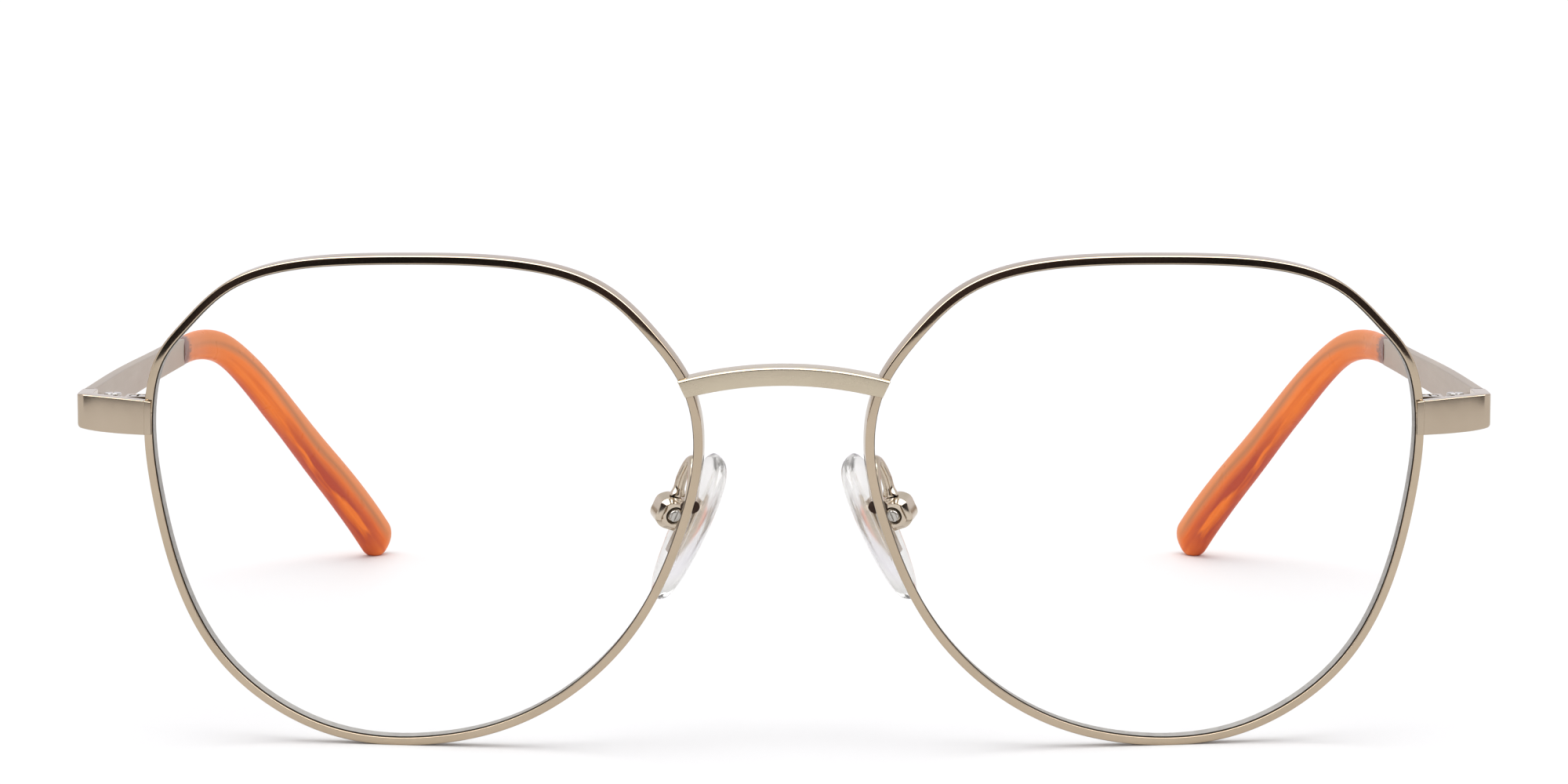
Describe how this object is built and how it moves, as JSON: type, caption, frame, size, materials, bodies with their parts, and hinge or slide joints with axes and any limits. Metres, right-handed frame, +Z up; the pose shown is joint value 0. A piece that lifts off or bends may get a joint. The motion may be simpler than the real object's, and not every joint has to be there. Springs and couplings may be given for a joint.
{
  "type": "wire eyeglasses",
  "caption": "Metal wire eyeglasses with rounded panto rims, a saddle bridge, adjustable clear nose pads and folding temples that end in curved tortoise acetate tips.",
  "frame": {"origin": "on the surface that the glasses stand on, under the middle of the whole box, with the temples open", "axes": "+Z up; +X to the wearer's left; the front of the glasses faces -Y and the temples run back along +Y"},
  "size_m": [0.1382, 0.1356, 0.0487],
  "materials": {
    "frame_metal": "polished champagne-coloured plating",
    "temple_metal": "polished champagne-coloured plating",
    "screw_steel": "polished",
    "lens": "polished",
    "pad_core_metal": "satin",
    "pad_silicone": "gloss clear silicone",
    "tip_acetate": "gloss streaked tortoise acetate"
  },
  "bodies": {
    "front": {"bridge": "frame_metal", "rim_left": "frame_metal", "rim_right": "frame_metal", "lens_left": "lens", "lens_right": "lens", "end_piece_left": "frame_metal", "end_piece_right": "frame_metal", "rim_lock_upper_left": "frame_metal", "rim_lock_upper_right": "frame_metal", "rim_lock_lower_left": "frame_metal", "rim_lock_lower_right": "frame_metal", "rim_lock_screw_left": "screw_steel", "rim_lock_screw_right": "screw_steel", "hinge_front_leaf_left": "frame_metal", "hinge_front_leaf_right": "frame_metal", "hinge_screw_left": "screw_steel", "hinge_screw_right": "screw_steel", "pad_arm_left": "frame_metal", "pad_arm_right": "frame_metal", "pad_box_left": "frame_metal", "pad_box_right": "frame_metal", "pad_screw_left": "screw_steel", "pad_screw_right": "screw_steel"},
    "temple_left": {"temple_left": "temple_metal", "temple_tip_left": "tip_acetate", "hinge_temple_leaf_left": "frame_metal"},
    "nose_pad_left": {"nose_pad_left": "pad_silicone", "pad_core_left": "pad_core_metal"},
    "temple_right": {"temple_right": "temple_metal", "temple_tip_right": "tip_acetate", "hinge_temple_leaf_right": "frame_metal"},
    "nose_pad_right": {"nose_pad_right": "pad_silicone", "pad_core_right": "pad_core_metal"}
  },
  "joints": [
    {"name": "temple_left_fold", "type": "hinge", "parent": "front", "child": "temple_left", "pos_m": [0.066, -0.05425, 0.0321], "axis": [0, 0, 1], "range_deg": [0, 82.5]},
    {"name": "temple_right_fold", "type": "hinge", "parent": "front", "child": "temple_right", "pos_m": [-0.066, -0.05425, 0.0321], "axis": [0, 0, -1], "range_deg": [0, 77.5]},
    {"name": "nose_pad_left_rock", "type": "hinge", "parent": "front", "child": "nose_pad_left", "pos_m": [0.01102, -0.0575, 0.02266], "axis": [0.3295, 0.9053, 0.2682], "range_deg": [-10, 10]},
    {"name": "nose_pad_right_rock", "type": "hinge", "parent": "front", "child": "nose_pad_right", "pos_m": [-0.01102, -0.0575, 0.02266], "axis": [0.3295, -0.9053, -0.2682], "range_deg": [-10, 10]}
  ]
}
